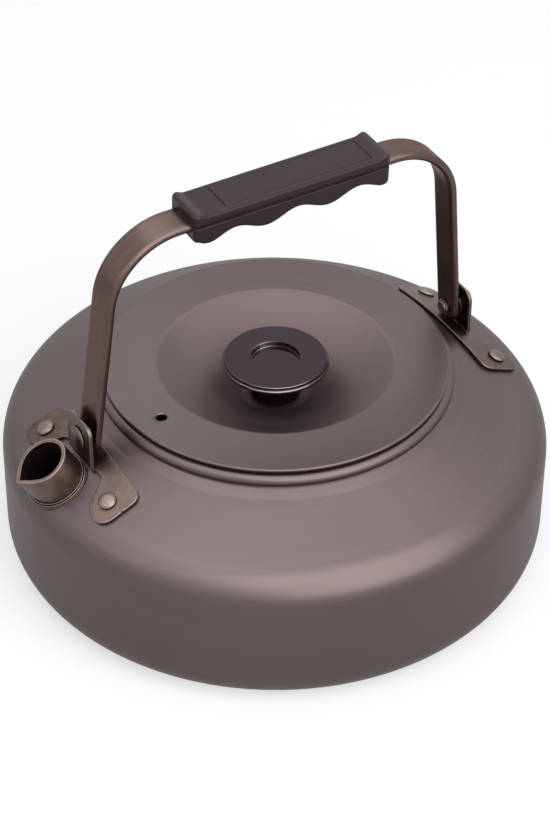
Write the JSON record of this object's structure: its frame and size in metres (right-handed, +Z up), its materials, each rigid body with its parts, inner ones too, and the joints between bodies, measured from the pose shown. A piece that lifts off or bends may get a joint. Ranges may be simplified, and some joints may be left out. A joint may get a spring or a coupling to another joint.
{
  "type": "camping kettle",
  "caption": "Wide, low spun-aluminium camping kettle with a lift-off dished lid, black knob, short pinched spout and a folding flat-bar bail with a moulded finger grip.",
  "frame": {"origin": "centre of the base, on the ground", "axes": "+Z up, +X from the spout side (front, -X) to the far side (rear); the bail's hinge axis runs along X above the shoulder, and the spout and bail lie in the plane Y = 0"},
  "size_m": [0.1845, 0.18, 0.1426],
  "materials": {
    "anodised_aluminium": "hard-anodised, fine spun grain, satin",
    "fitting_steel": "satin, pressed and deburred",
    "bail_steel": "satin, drawn lengthwise, warm tint",
    "knob_plastic": "heat-resistant plastic, gloss",
    "grip_plastic": "moulded, fine texture, satin"
  },
  "bodies": {
    "kettle": {"kettle_body": "anodised_aluminium", "spout_tube": "fitting_steel", "spout_collar": "fitting_steel", "front_bracket": "fitting_steel", "rear_bracket": "fitting_steel", "bracket_rivet_front_left": "fitting_steel", "bracket_rivet_front_right": "fitting_steel", "bracket_rivet_rear_left": "fitting_steel", "bracket_rivet_rear_right": "fitting_steel", "pivot_rivet_front": "fitting_steel", "pivot_rivet_rear": "fitting_steel", "pivot_washer_front": "fitting_steel", "pivot_washer_rear": "fitting_steel"},
    "bail": {"bail_strip": "bail_steel", "grip_upper": "grip_plastic", "grip_lower": "grip_plastic"},
    "lid": {"lid": "anodised_aluminium", "knob": "knob_plastic", "knob_screw": "fitting_steel", "knob_washer": "fitting_steel"}
  },
  "joints": [
    {"name": "bail_fold", "type": "hinge", "parent": "kettle", "child": "bail", "pos_m": [0, 0, 0.06511], "axis": [1, 0, 0], "range_deg": [-91.4, 86.6]},
    {"name": "lid_lift", "type": "slide", "parent": "kettle", "child": "lid", "axis": [0, 0, 1], "range_m": [0, 0.045]}
  ]
}
